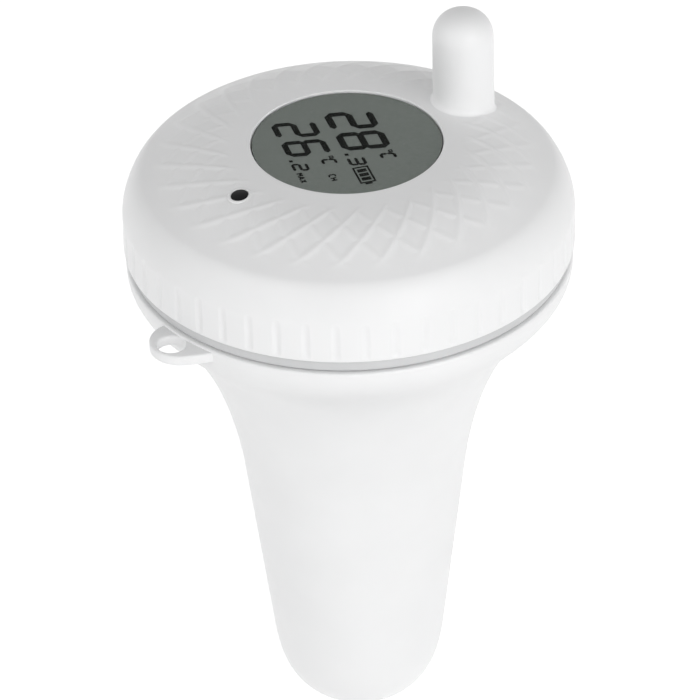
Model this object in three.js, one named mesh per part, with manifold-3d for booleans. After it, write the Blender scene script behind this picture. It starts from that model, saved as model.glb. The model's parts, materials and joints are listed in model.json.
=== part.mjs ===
// Floating pool thermometer: a weighted float with a display head that screws onto its neck.
// Lengths are in millimetres and angles in degrees. Every height is measured from the lower rim
// of the cap with +Z up, until the last line raises the whole group to its origin on the waterline.
// The head is modelled along its display: +X is the reading direction and +Y points up the digits.
import * as THREE from "three";
import { mergeVertices } from "three/addons/utils/BufferGeometryUtils.js";
import Module from "manifold-3d";

const wasm = await Module();
wasm.setup();

// General fits
const clearance = 0.3;
const overrun = 1;
const waterlineDepth = 8;

// Cap
const capRadius = 48;
const capWall = 2.6;
const capSideHeight = 8.5;
const shoulderWidth = 4.5;
const shoulderRise = 8.8;
const crownRise = 6.8;
const shoulderShares = [[0, 0.17], [0.33, 0.81]];
const crownShares = [[0.456, 0.842], [0.481, 0.908]];
const grooveCount = 48;
const grooveWidth = 1.8;
const grooveDepth = 0.5;
const grooveBottom = 1.2;
const grooveTop = 12;
const groovePhase = 2.4;

// Window, seal and light pipe
const displayTurn = -74;
const windowRadius = 20.1;
const ledgeWidth = 0.9;
const lensThickness = 1.5;
const sealThickness = 0.6;
const ledgeThickness = 1;
const collarWidth = 2.4;
const pipeRadius = 1.85;
const pipeCollarRadius = 3;
const pipeCollarThickness = 1.2;
const pipeAcross = 11.8;
const pipeBelow = 27;

// Antenna
const antennaRadius = 6.55;
const antennaWall = 1.8;
const antennaTop = 45.5;
const antennaTipRise = 6.2;
const antennaTipShares = [[0, 0.6], [0.4, 1]];
const antennaSideways = 8.8;
const antennaFootWidth = 1.75;
const antennaFootThickness = 1.5;
const antennaRodRadius = 0.8;
const antennaRodFootRadius = 2.5;
const antennaRodFootHeight = 1.5;
const antennaRodRoom = 2;

// Display stack
const lcdMargin = 0.4;
const lcdThickness = 2.2;
const lcdBackingThickness = 0.5;
const frameWall = 1;
const stripHeight = 3.2;
const stripWidth = 2;

// Circuit board and what it carries
const boardThickness = 1.6;
const boardPostRadius = 2.4;
const boardPostRoom = 3.3;
const boardScrewRadius = 0.9;
const boardScrewHeadRadius = 2;
const boardScrewHeadHeight = 1.6;
const boardScrewLength = 6;
const boardScrewAngles = [0, 180, 270];
const controllerSize = [8, 8, 1.2];
const controllerPlace = [13, 9];
const radioSize = [14, 10, 2];
const radioPlace = [-13, 15];
const sensorSize = [3, 2, 1];

// Chassis, its screws, buttons and slider
const chassisTop = 7.3;
const chassisPlate = 2;
const chassisRunningGap = 0.6;
const bossRadius = 3.2;
const bossMargin = 1.6;
const chassisScrewRadius = 1.1;
const chassisScrewHeadRadius = 2.2;
const chassisScrewHeadHeight = 1.6;
const chassisScrewLength = 8;
const chassisScrewAngles = [45, 135, 225, 315];
const buttonRadius = 2.4;
const buttonFlangeWidth = 0.8;
const buttonFlangeHeight = 1;
const buttonProud = 0.8;
const buttonTravel = 0.6;
const buttonSpread = 9;
const controlDistance = 25.5;
const tactSwitchWidth = 6;
const sliderStem = [3, 2.6];
const sliderFlange = [12, 5];
const sliderFlangeHeight = 0.8;
const sliderTravel = 2;
const slideSwitchSize = [8.6, 4.4];

// Batteries
const cellLength = 44.5;
const cellRadius = 5.25;
const cellNubRadius = 1.9;
const cellNubHeight = 0.9;
const cellSpacing = 27;
const bayWall = 1.2;
const springLength = 4.5;
const springRadius = 3;
const springWireRadius = 0.4;
const springTurns = 4;
const contactPlateThickness = 0.5;
const contactPlateWidth = 8;

// Screw thread between cap and neck
const threadRoom = 2.4;
const threadPitch = 4;
const threadTurns = 1.25;
const threadBottom = 3;
const threadOffset = 1.5;
const rimLand = 0.1;
const ridgeWidth = 1.8;
const ridgeTipWidth = 0.9;
const ridgeTipGap = 0.7;

// Float
const gasketThickness = 2.6;
const gasketInset = 1.1;
const gasketRounding = 0.7;
const lipInset = 0.4;
const lipHeight = 1.4;
const lipRounding = 0.5;
const neckHeight = 10;
const neckWall = 2.2;
const floatWall = 2.2;
const bellRadius = 39.9;
const bellHeight = 11.3;
const bellShares = [[0, 0.38], [0.47, 0.61]];
const stemRadius = 24;
const trumpetHeight = 40.1;
const trumpetShares = [[0.73, 0.31], [0.95, 0.84]];
const stemEndRadius = 18.7;
const taperHeight = 42;
const tipHeight = 19.6;
const tipShares = [[0.05, 0.385], [0.135, 1]];
const roundShares = [[0, 0.55], [0.45, 1]];

// Lanyard ear on the lip
const earAzimuth = 221.8;
const earReach = 0.3;
const earTipRadius = 7.2;
const earBlendAngle = 55;
const earBlendLength = 4;
const earRootWidth = 10;
const earRootDepth = 3.6;
const earThickness = 2.4;
const earDrop = 0.4;
const earHoleRadius = 3;
const earHoleReach = 3.1;

// Ballast and probe inside the float
const ballastHeight = 20;
const ballastBore = 6.3;
const keeperThickness = 2;
const stalkRadius = 4.2;
const stalkWall = 1.2;
const stalkFlangeRadius = 6.2;
const stalkFlangeHeight = 1.4;
const stalkNutRadius = 6.2;
const stalkNutHeight = 3;
const probeTipHeight = 6;
const probeRoom = 3;
const leadRadius = 0.9;

// Numbers of faces
const shellSegments = 48;
const smallSegments = 16;
const screwSegments = 10;
const grooveSegments = 6;
const nutSides = 6;
const earSteps = 8;
const curveSteps = 6;
const innerCurveSteps = 3;
const coilStepsPerTurn = 8;
const coilSides = 5;
const ridgeStepsPerTurn = 24;

// Sizes that follow from the ones above
const domeHeight = capSideHeight + shoulderRise + crownRise;
const capInner = capRadius - capWall;
const ledgeRadius = windowRadius - ledgeWidth;
const lensBottom = domeHeight - lensThickness;
const ledgeTop = lensBottom - sealThickness - 2 * clearance;
const ledgeBottom = ledgeTop - ledgeThickness;
const openingRadius = windowRadius + clearance;
const lcdHalf = windowRadius + lcdMargin;
const stripPlace = lcdHalf - stripWidth;
const frameInnerHalf = lcdHalf + clearance;
const frameHalf = frameInnerHalf + frameWall;
const antennaUp = frameHalf + clearance + antennaRadius;
const neckOuter = capInner - threadRoom;
const neckInner = neckOuter - neckWall;
const ridgeDepth = threadRoom - ridgeTipGap;
const chassisRadius = neckInner - chassisRunningGap;
const plateBottom = chassisTop - chassisPlate;
const screwCircle = neckInner - bossMargin - bossRadius;
const boardRadius = screwCircle - bossRadius - 2 * clearance;
const boardPostCircle = frameHalf + boardPostRadius + boardPostRoom;
const seamGap = gasketThickness + 2 * clearance;
const lipTop = -seamGap;
const lipRadius = capRadius - lipInset;
const lipBottom = lipTop - lipHeight;
const bellBottom = lipBottom - bellHeight;
const stemTop = bellBottom - trumpetHeight;
const taperBottom = stemTop - taperHeight;
const floatBottom = taperBottom - tipHeight;
const probeBottom = floatBottom + floatWall + probeRoom;
const stalkBottom = probeBottom + probeTipHeight + clearance;
const cellHeight = plateBottom - clearance - cellRadius;
const bayHalfLength = (cellLength + springLength + contactPlateThickness + 4 * clearance) / 2;
const bayHalfWidth = cellRadius + clearance;
const buttonFlangeTop = chassisTop + clearance + buttonFlangeHeight;
const sliderFlangeTop = chassisTop + clearance + sliderFlangeHeight;

const degrees = (angle) => THREE.MathUtils.degToRad(angle);
const onCircle = (radius, angle) => [radius * Math.cos(degrees(angle)), radius * Math.sin(degrees(angle))];

// Turns a closed geometry into a solid that can be joined to others or cut by them.
function toSolid(geometry) {
  const bare = new THREE.BufferGeometry();
  bare.setAttribute("position", geometry.getAttribute("position").clone());
  bare.setIndex(geometry.index);
  const merged = mergeVertices(bare);
  const vertProperties = merged.getAttribute("position").array;
  const triVerts = new Uint32Array(merged.index.array);
  return new wasm.Manifold(new wasm.Mesh({ numProp: 3, vertProperties, triVerts }));
}

function toGeometry(solid) {
  const { vertProperties, triVerts } = solid.getMesh();
  const geometry = new THREE.BufferGeometry();
  geometry.setAttribute("position", new THREE.BufferAttribute(vertProperties, 3));
  geometry.setIndex(new THREE.BufferAttribute(triVerts, 1));
  return geometry;
}

const join = (base, others) =>
  toGeometry(others.reduce((solid, other) => solid.add(toSolid(other)), toSolid(base)));
const cut = (base, tools) =>
  toGeometry(tools.reduce((solid, tool) => solid.subtract(toSolid(tool)), toSolid(base)));
const common = (base, other) => toGeometry(toSolid(base).intersect(toSolid(other)));

// A profile of [radius, height] points turned about Z. It runs counter-clockwise, with the axis at its left.
function turned(points, segments = smallSegments) {
  const profile = points.map(([radius, height]) => new THREE.Vector2(radius, height));
  return new THREE.LatheGeometry(profile, segments).rotateX(degrees(90));
}

const rod = (radius, bottom, top, segments = smallSegments) =>
  turned([[0, bottom], [radius, bottom], [radius, top], [0, top]], segments);

const ring = (outer, inner, bottom, top, segments = smallSegments) =>
  turned([[inner, bottom], [outer, bottom], [outer, top], [inner, top], [inner, bottom]], segments);

// A box centred over [x, y] between two heights.
function block([width, depth], [x, y], bottom, top) {
  return new THREE.BoxGeometry(width, depth, top - bottom).translate(x, y, (bottom + top) / 2);
}

// The points of a curve from one [radius, height] to another. Its two handles lie at shares of the
// way across and of the way up, and the first point is left out because the piece before it ends there.
function bend([fromRadius, fromHeight], [toRadius, toHeight], shares, steps = curveSteps) {
  const across = toRadius - fromRadius;
  const up = toHeight - fromHeight;
  const handles = shares.map(([a, b]) => new THREE.Vector2(fromRadius + a * across, fromHeight + b * up));
  const from = new THREE.Vector2(fromRadius, fromHeight);
  const to = new THREE.Vector2(toRadius, toHeight);
  const points = new THREE.CubicBezierCurve(from, handles[0], handles[1], to).getPoints(steps);
  return points.slice(1).map((point) => [point.x, point.y]);
}

// A closed solid through sections with equal numbers of [x, y, z] points, each section counter-clockwise
// seen from the end of the run, with flat ends.
function loft(sections) {
  const size = sections[0].length;
  const last = (sections.length - 1) * size;
  const index = [];
  for (let s = 0; s < last; s += size) {
    for (let i = 0; i < size; i += 1) {
      const next = (i + 1) % size;
      index.push(s + i, s + next, s + size + next);
      index.push(s + i, s + size + next, s + size + i);
    }
  }
  for (let i = 1; i < size - 1; i += 1) {
    index.push(0, i + 1, i);
    index.push(last, last + i, last + i + 1);
  }
  const geometry = new THREE.BufferGeometry();
  geometry.setAttribute("position", new THREE.Float32BufferAttribute(sections.flat(2), 3));
  geometry.setIndex(index);
  return geometry;
}

// A right-handed thread ridge that climbs one pitch a turn, from a root radius to a tip radius.
function threadRidge(root, tip, bottom, startAngle) {
  const steps = Math.round(threadTurns * ridgeStepsPerTurn);
  const rises = [-ridgeWidth, -ridgeTipWidth, ridgeTipWidth, ridgeWidth].map((width) => width / 2);
  const outline = [root, tip, tip, root].map((radius, i) => [radius, rises[i]]);
  const inward = tip < root;
  const corners = inward ? outline : [...outline].reverse();
  const sections = [];
  for (let step = 0; step <= steps; step += 1) {
    const turn = (step / steps) * threadTurns;
    const centre = bottom + turn * threadPitch;
    const angle = startAngle + 360 * turn;
    sections.push(corners.map(([radius, rise]) => [...onCircle(radius, angle), centre + rise]));
  }
  return loft(sections);
}

// A coil spring along +X that starts at zero.
function coil(length, radius, wireRadius, turns) {
  const run = length - 2 * wireRadius;
  const sections = [];
  for (let step = 0; step <= turns * coilStepsPerTurn; step += 1) {
    const angle = (360 * step) / coilStepsPerTurn;
    const along = wireRadius + (run * step) / (turns * coilStepsPerTurn);
    const section = [];
    for (let side = 0; side < coilSides; side += 1) {
      const [out, forward] = onCircle(wireRadius, (360 * side) / coilSides);
      section.push([along - forward, ...onCircle(radius + out, angle)]);
    }
    sections.push(section);
  }
  return loft(sections);
}

function material(colour, roughness, metalness) {
  return new THREE.MeshStandardMaterial({ color: colour, roughness, metalness });
}

const whitePlastic = material(0xf0f1f2, 0.45, 0);
const innerPlastic = material(0xe4e5e6, 0.6, 0);
const greyRubber = material(0xcfd2d4, 0.7, 0);
const clearPlastic = material(0xdfe8ea, 0.1, 0);
const blackPlastic = material(0x141516, 0.4, 0);
const lcdGlass = material(0x667069, 0.25, 0);
const greenBoard = material(0x1f5a3a, 0.5, 0);
const steel = material(0xb9bcc0, 0.35, 1);
const brass = material(0xc9a24b, 0.35, 1);
const cellWrap = material(0x3c5a7d, 0.4, 0.2);
const leadGrey = material(0x55585c, 0.6, 0.6);

// Adds a named piece to a group.
function add(group, name, geometry, finish, place = [0, 0, 0]) {
  const mesh = new THREE.Mesh(geometry, finish);
  mesh.name = name;
  mesh.position.set(...place);
  group.add(mesh);
}

// The cap's outline from its rim to the window opening, drawn in by an inset for the inside.
function capOutline(inset, steps = curveSteps) {
  const side = [capRadius - inset, capSideHeight];
  const shoulder = [capRadius - shoulderWidth - inset, capSideHeight + shoulderRise - inset];
  const crown = [inset > 0 ? openingRadius + collarWidth : openingRadius, domeHeight - inset];
  const toShoulder = bend(side, shoulder, shoulderShares, steps);
  return [[side[0], 0], side, ...toShoulder, ...bend(shoulder, crown, crownShares, steps)];
}

// The height of one of the cap's outlines at a distance from the axis.
function heightOn(outline, radius) {
  const outer = Math.max(outline.findLastIndex((point) => point[0] >= radius), 0);
  const inner = Math.min(outer + 1, outline.length - 1);
  const [outerRadius, outerHeight] = outline[outer];
  const [innerRadius, innerHeight] = outline[inner];
  if (outerRadius === innerRadius) return innerHeight;
  return outerHeight + ((innerHeight - outerHeight) * (outerRadius - radius)) / (outerRadius - innerRadius);
}

const ceiling = (radius) => heightOn(capOutline(capWall, innerCurveSteps), radius);
const antennaReach = Math.hypot(antennaSideways, antennaUp) + antennaRadius + antennaFootWidth;
const antennaSeat = ceiling(antennaReach) - clearance;
const pipeDistance = Math.hypot(pipeAcross, pipeBelow);
const pipeCollarTop = ceiling(pipeDistance + pipeCollarRadius) - clearance;
const frameTop = ceiling(frameHalf * Math.SQRT2) - clearance;
const lcdTop = Math.min(ledgeBottom, ceiling(lcdHalf * Math.SQRT2)) - clearance;
const lcdBottom = lcdTop - lcdThickness;
const boardTop = lcdBottom - stripHeight - 2 * clearance;
const boardBottom = boardTop - boardThickness;
const chassisScrewBase = plateBottom - clearance;
const boardScrewBase = boardBottom - clearance;
const chassisScrewPlaces = chassisScrewAngles.map((angle) => onCircle(screwCircle, angle));
const boardScrewPlaces = boardScrewAngles.map((angle) => onCircle(boardPostCircle, angle));
const buttonPlaces = [-buttonSpread, buttonSpread].map((x) => [x, -controlDistance]);
const sliderPlace = [0, controlDistance];
const antennaPlace = [-antennaSideways, antennaUp];
const pipePlace = [pipeAcross, -pipeBelow];

// The space of the display frame, which the antenna's seat and foot keep clear of.
function displaySpace() {
  const side = 2 * (frameHalf + clearance);
  return block([side, side], [0, 0], 0, frameTop + clearance);
}

// Upright grip grooves in the side of the cap.
function grooves() {
  const radius = (grooveWidth ** 2 / 4 + grooveDepth ** 2) / (2 * grooveDepth);
  const centre = capRadius - grooveDepth + radius;
  return Array.from({ length: grooveCount }, (_, i) => {
    const angle = groovePhase + (360 * i) / grooveCount;
    const [x, y] = onCircle(centre, angle);
    return rod(radius, grooveBottom, grooveTop, grooveSegments).rotateZ(degrees(angle)).translate(x, y, 0);
  });
}

// Posts that hang from the inside of the dome, cut to its outer form.
function hangingPosts(form) {
  const boss = rod(bossRadius, chassisTop + clearance, domeHeight);
  const boardPost = rod(boardPostRadius, boardTop + clearance, domeHeight);
  const posts = [
    ...chassisScrewPlaces.map(([x, y]) => boss.clone().translate(x, y, 0)),
    ...boardScrewPlaces.map(([x, y]) => boardPost.clone().translate(x, y, 0)),
  ];
  const seat = rod(antennaRadius + antennaFootWidth, antennaSeat, domeHeight).translate(...antennaPlace, 0);
  return [...posts, cut(seat, [displaySpace()])].map((post) => common(post, form));
}

function capHoles() {
  const above = domeHeight + overrun;
  const chassisHoleTop = chassisScrewBase + chassisScrewLength + clearance;
  const boardHoleTop = boardScrewBase + boardScrewLength + clearance;
  return [
    rod(antennaRadius + clearance, 0, above).translate(...antennaPlace, 0),
    rod(pipeRadius + clearance, 0, above).translate(...pipePlace, 0),
    ...chassisScrewPlaces.map(([x, y]) =>
      rod(chassisScrewRadius + clearance, 0, chassisHoleTop, screwSegments).translate(x, y, 0)),
    ...boardScrewPlaces.map(([x, y]) =>
      rod(boardScrewRadius + clearance, 0, boardHoleTop, screwSegments).translate(x, y, 0)),
  ];
}

// The ridge inside the cap lies just under the neck's ridge on the same helix.
function capRidge() {
  const bottom = ridgeWidth / 2 + rimLand;
  const turn = (bottom - (threadBottom - threadOffset)) / threadPitch;
  return threadRidge(capInner + clearance, capInner - ridgeDepth, bottom, 360 * turn - displayTurn);
}

function capShell() {
  const form = turned([[0, 0], ...capOutline(0), [0, domeHeight]], shellSegments);
  const ledge = [[openingRadius, ledgeTop], [ledgeRadius, ledgeTop], [ledgeRadius, ledgeBottom]];
  const collar = [openingRadius + collarWidth, ledgeBottom];
  const inside = capOutline(capWall, innerCurveSteps).reverse();
  const shell = turned([...capOutline(0), ...ledge, collar, ...inside, [capRadius, 0]], shellSegments);
  return cut(join(shell, [...hangingPosts(form), capRidge()]), [...capHoles(), ...grooves()]);
}

function antennaCover() {
  const footTop = antennaSeat - clearance;
  const footBottom = footTop - antennaFootThickness;
  const footRadius = antennaRadius + antennaFootWidth;
  const inner = antennaRadius - antennaWall;
  const sideTop = antennaTop - antennaTipRise;
  const bore = bend([inner, sideTop], [0, antennaTop - antennaWall], antennaTipShares).reverse();
  const profile = [
    ...bore,
    [inner, sideTop],
    [inner, footBottom],
    [footRadius, footBottom],
    [footRadius, footTop],
    [antennaRadius, footTop],
    [antennaRadius, sideTop],
    ...bend([antennaRadius, sideTop], [0, antennaTop], antennaTipShares),
  ];
  return cut(turned(profile).translate(...antennaPlace, 0), [displaySpace()]);
}

function antennaRod() {
  const bottom = boardTop + clearance;
  const shoulder = bottom + antennaRodFootHeight;
  const top = antennaTop - antennaWall - antennaRodRoom;
  return turned([
    [0, bottom],
    [antennaRodFootRadius, bottom],
    [antennaRodFootRadius, shoulder],
    [antennaRodRadius, shoulder],
    [antennaRodRadius, top],
    [0, top],
  ], screwSegments);
}

function lightPipe() {
  const bottom = boardTop + sensorSize[2] + 2 * clearance;
  const collarBottom = pipeCollarTop - pipeCollarThickness;
  const top = heightOn(capOutline(0), pipeDistance);
  return turned([
    [0, bottom],
    [pipeRadius, bottom],
    [pipeRadius, collarBottom],
    [pipeCollarRadius, collarBottom],
    [pipeCollarRadius, pipeCollarTop],
    [pipeRadius, pipeCollarTop],
    [pipeRadius, top],
    [0, top],
  ]);
}

// The display's glass plate, whose round face stands up through the ledge to the window.
function displayGlass() {
  const plate = block([2 * lcdHalf, 2 * lcdHalf], [0, 0], lcdBottom, lcdTop);
  return join(plate, [rod(ledgeRadius - clearance, lcdBottom, lensBottom - clearance, shellSegments)]);
}

function lcdFrame() {
  const bottom = boardTop + clearance;
  const outside = block([2 * frameHalf, 2 * frameHalf], [0, 0], bottom, frameTop);
  const inside = [2 * frameInnerHalf, 2 * frameInnerHalf];
  return cut(outside, [block(inside, [0, 0], bottom - overrun, frameTop + overrun)]);
}

function lcdBacking() {
  const top = lcdBottom - clearance;
  const depth = 2 * (stripPlace - stripWidth / 2 - clearance);
  return block([2 * lcdHalf, depth], [0, 0], top - lcdBackingThickness, top);
}

function contactStrip(side) {
  const size = [2 * stripPlace, stripWidth];
  return block(size, [0, side * stripPlace], boardTop + clearance, lcdBottom - clearance);
}

function circuitBoard() {
  const radius = boardScrewRadius + clearance;
  const hole = rod(radius, boardBottom - overrun, boardTop + overrun, screwSegments);
  const holes = boardScrewPlaces.map(([x, y]) => hole.clone().translate(x, y, 0));
  return cut(rod(boardRadius, boardBottom, boardTop, shellSegments), holes);
}

// A flat electronic part under the circuit board.
const underBoard = ([width, depth, height], place) =>
  block([width, depth], place, boardBottom - clearance - height, boardBottom - clearance);

function screw(shankRadius, [headRadius, headHeight], base, length, [x, y]) {
  return turned([
    [0, base - headHeight],
    [headRadius, base - headHeight],
    [headRadius, base],
    [shankRadius, base],
    [shankRadius, base + length],
    [0, base + length],
  ], screwSegments).translate(x, y, 0);
}

function chassisScrew(place) {
  const head = [chassisScrewHeadRadius, chassisScrewHeadHeight];
  return screw(chassisScrewRadius, head, chassisScrewBase, chassisScrewLength, place);
}

function boardScrew(place) {
  const head = [boardScrewHeadRadius, boardScrewHeadHeight];
  return screw(boardScrewRadius, head, boardScrewBase, boardScrewLength, place);
}

// A round plate with two battery bays that open downwards.
function chassis() {
  const bayBottom = cellHeight - cellRadius;
  const bayPlaces = [[0, -cellSpacing / 2], [0, cellSpacing / 2]];
  const outside = [2 * (bayHalfLength + bayWall), 2 * (bayHalfWidth + bayWall)];
  const inside = [2 * bayHalfLength, 2 * bayHalfWidth];
  const slot = [sliderStem[0] + 2 * (sliderTravel + clearance), sliderStem[1] + 2 * clearance];
  const low = plateBottom - overrun;
  const high = chassisTop + overrun;
  const plate = rod(chassisRadius, plateBottom, chassisTop, shellSegments);
  const screwHole = rod(chassisScrewRadius + clearance, low, high, screwSegments);
  const bays = bayPlaces.map((place) => block(outside, place, bayBottom, chassisTop - chassisPlate / 2));
  return cut(join(plate, bays), [
    ...bayPlaces.map((place) => block(inside, place, bayBottom - overrun, plateBottom)),
    ...chassisScrewPlaces.map(([x, y]) => screwHole.clone().translate(x, y, 0)),
    ...buttonPlaces.map(([x, y]) => rod(buttonRadius + clearance, low, high).translate(x, y, 0)),
    rod(stalkRadius + clearance, low, high),
    block(slot, sliderPlace, low, high),
  ]);
}

function pushButton([x, y]) {
  const bottom = plateBottom - buttonProud;
  const flangeBottom = chassisTop + clearance;
  return turned([
    [0, bottom],
    [buttonRadius, bottom],
    [buttonRadius, flangeBottom],
    [buttonRadius + buttonFlangeWidth, flangeBottom],
    [buttonRadius + buttonFlangeWidth, buttonFlangeTop],
    [0, buttonFlangeTop],
  ]).translate(x, y, 0);
}

function tactSwitch(place) {
  const bottom = buttonFlangeTop + buttonTravel + clearance;
  return block([tactSwitchWidth, tactSwitchWidth], place, bottom, boardBottom - clearance);
}

function channelSlider() {
  const flangeBottom = chassisTop + clearance;
  const stem = block(sliderStem, sliderPlace, plateBottom - buttonProud, sliderFlangeTop);
  return join(stem, [block(sliderFlange, sliderPlace, flangeBottom, sliderFlangeTop)]);
}

// One battery with its two contacts, along +X from the spring to the contact plate.
function addBattery(group, name) {
  const springStart = -bayHalfLength + clearance;
  const cellStart = springStart + springLength + clearance;
  const plateStart = cellStart + cellLength + clearance;
  const bodyLength = cellLength - cellNubHeight;
  const cell = turned([
    [0, 0],
    [cellRadius, 0],
    [cellRadius, bodyLength],
    [cellNubRadius, bodyLength],
    [cellNubRadius, cellLength],
    [0, cellLength],
  ]).rotateY(degrees(90));
  const plate = block([contactPlateThickness, contactPlateWidth], [contactPlateThickness / 2, 0],
    -contactPlateWidth / 2, contactPlateWidth / 2);
  add(group, `battery_${name}`, cell, cellWrap, [cellStart, 0, 0]);
  const spring = coil(springLength, springRadius, springWireRadius, springTurns);
  add(group, `battery_spring_${name}`, spring, steel, [springStart, 0, 0]);
  add(group, `contact_plate_${name}`, plate, brass, [plateStart, 0, 0]);
}

function probeStalk() {
  const flangeBottom = chassisTop + clearance;
  const top = flangeBottom + stalkFlangeHeight;
  const bore = stalkRadius - stalkWall;
  return turned([
    [bore, stalkBottom],
    [stalkRadius, stalkBottom],
    [stalkRadius, flangeBottom],
    [stalkFlangeRadius, flangeBottom],
    [stalkFlangeRadius, top],
    [bore, top],
    [bore, stalkBottom],
  ]);
}

function stalkNut() {
  const top = plateBottom - clearance;
  const bottom = top - stalkNutHeight;
  const hole = rod(stalkRadius + clearance, bottom - overrun, top + overrun);
  return cut(rod(stalkNutRadius, bottom, top, nutSides), [hole]);
}

function probeTip() {
  const top = probeBottom + probeTipHeight;
  const roundTop = [stalkRadius, probeBottom + stalkRadius];
  const nose = bend(roundTop, [0, probeBottom], roundShares).reverse();
  return turned([...nose, roundTop, [stalkRadius, top], [0, top]]);
}

// The float's outline from the lip down to the tip, drawn in by an inset for the inside.
function floatOutline(inset, steps) {
  const lip = [lipRadius - inset, lipBottom];
  const bell = [bellRadius - inset, bellBottom];
  const stem = [stemRadius - inset, stemTop];
  const stemEnd = [stemEndRadius - inset, taperBottom];
  const tip = [0, floatBottom + inset];
  const bellCurve = bend(lip, bell, bellShares, steps);
  const trumpetCurve = bend(bell, stem, trumpetShares, steps);
  return [lip, ...bellCurve, ...trumpetCurve, stemEnd, ...bend(stemEnd, tip, tipShares, steps)];
}

// The inside of the float, which is nowhere wider than the neck.
const floatInside = (inset) =>
  floatOutline(inset, innerCurveSteps).map(([radius, height]) => [Math.min(radius, neckInner), height]);

// A flat round ear with a hole for a lanyard. One side meets the lip square, and the other blends into it.
function lanyardEar() {
  const centre = lipRadius + earReach;
  const root = lipRadius - earRootDepth;
  const [blendX, blendY] = onCircle(earTipRadius, earBlendAngle);
  const [alongX, alongY] = onCircle(earBlendLength, earBlendAngle + 90);
  const shape = new THREE.Shape();
  shape.moveTo(root, -earTipRadius);
  shape.lineTo(centre, -earTipRadius);
  shape.absarc(centre, 0, earTipRadius, degrees(-90), degrees(earBlendAngle));
  shape.quadraticCurveTo(centre + blendX + alongX, blendY + alongY, root, earRootWidth);
  shape.closePath();
  const hole = new THREE.Path();
  hole.absarc(lipRadius + earHoleReach, 0, earHoleRadius, 0, degrees(360), true);
  shape.holes.push(hole);
  const options = { depth: earThickness, bevelEnabled: false, curveSegments: earSteps };
  const geometry = new THREE.ExtrudeGeometry(shape, options);
  return geometry.translate(0, 0, lipTop - earDrop - earThickness).rotateZ(degrees(earAzimuth));
}

function floatShell() {
  const profile = [
    ...floatOutline(0, curveSteps).reverse(),
    [lipRadius, lipTop - lipRounding],
    [lipRadius - lipRounding, lipTop],
    [neckOuter, lipTop],
    [neckOuter, neckHeight],
    [neckInner, neckHeight],
    ...floatInside(floatWall),
  ];
  const ridge = threadRidge(neckOuter - clearance, neckOuter + ridgeDepth, threadBottom, 0);
  return join(turned(profile, shellSegments), [ridge, lanyardEar()]);
}

// A ring that fits the inside of the float between two heights.
function ringInFloat(bottom, top) {
  const inside = floatInside(floatWall + clearance);
  const space = turned([...inside.reverse(), [0, lipBottom]], shellSegments);
  const slab = ring(lipRadius, ballastBore, bottom, top, shellSegments);
  return common(space, slab);
}

function rimGasket() {
  const outer = capRadius - gasketInset;
  const inner = neckOuter + ridgeDepth + clearance;
  const top = -clearance;
  const bottom = top - gasketThickness;
  return turned([
    [inner, bottom],
    [outer - gasketRounding, bottom],
    [outer, bottom + gasketRounding],
    [outer, top - gasketRounding],
    [outer - gasketRounding, top],
    [inner, top],
    [inner, bottom],
  ], shellSegments);
}

function addFloat(group) {
  const ballastTop = floatBottom + floatWall + ballastHeight;
  const keeperBottom = ballastTop + clearance;
  add(group, "float_shell", floatShell(), whitePlastic);
  add(group, "ballast_weight", ringInFloat(floatBottom, ballastTop), steel);
  add(group, "ballast_keeper", ringInFloat(keeperBottom, keeperBottom + keeperThickness), innerPlastic);
}

function addDisplay(group) {
  const sealTop = lensBottom - clearance;
  add(group, "window_lens", rod(windowRadius, lensBottom, domeHeight, shellSegments), clearPlastic);
  const seal = ring(windowRadius, ledgeRadius, sealTop - sealThickness, sealTop, shellSegments);
  add(group, "window_seal", seal, greyRubber);
  add(group, "lcd_glass", displayGlass(), lcdGlass);
  add(group, "lcd_backing", lcdBacking(), innerPlastic);
  add(group, "lcd_frame", lcdFrame(), innerPlastic);
  add(group, "contact_strip_upper", contactStrip(1), greyRubber);
  add(group, "contact_strip_lower", contactStrip(-1), greyRubber);
}

function addElectronics(group) {
  const sensorHeights = [boardTop + clearance, boardTop + clearance + sensorSize[2]];
  const switchBottom = sliderFlangeTop + clearance;
  const slideSwitch = block(slideSwitchSize, sliderPlace, switchBottom, boardBottom - clearance);
  add(group, "circuit_board", circuitBoard(), greenBoard);
  add(group, "microcontroller", underBoard(controllerSize, controllerPlace), blackPlastic);
  add(group, "radio_module", underBoard(radioSize, radioPlace), steel);
  add(group, "light_sensor", block(sensorSize, pipePlace, ...sensorHeights), blackPlastic);
  add(group, "unit_switch", tactSwitch(buttonPlaces[0]), blackPlastic);
  add(group, "test_switch", tactSwitch(buttonPlaces[1]), blackPlastic);
  add(group, "channel_switch", slideSwitch, steel);
  boardScrewPlaces.forEach((place, i) => add(group, `board_screw_${i + 1}`, boardScrew(place), steel));
}

function addChassis(group) {
  add(group, "chassis", chassis(), innerPlastic);
  chassisScrewPlaces.forEach((place, i) => add(group, `chassis_screw_${i + 1}`, chassisScrew(place), steel));
  ["left", "right"].forEach((name, i) => {
    const bay = new THREE.Group();
    bay.position.set(0, (i - 0.5) * cellSpacing, cellHeight);
    bay.rotation.z = degrees(180 * i);
    group.add(bay);
    addBattery(bay, name);
  });
  add(group, "unit_button", pushButton(buttonPlaces[0]), greyRubber);
  add(group, "test_button", pushButton(buttonPlaces[1]), greyRubber);
  add(group, "channel_slider", channelSlider(), blackPlastic);
}

function addProbe(group) {
  add(group, "probe_stalk", probeStalk(), innerPlastic);
  add(group, "stalk_nut", stalkNut(), innerPlastic);
  add(group, "probe_tip", probeTip(), steel);
  add(group, "probe_lead", rod(leadRadius, stalkBottom, boardBottom - clearance, screwSegments), leadGrey);
}

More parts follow.
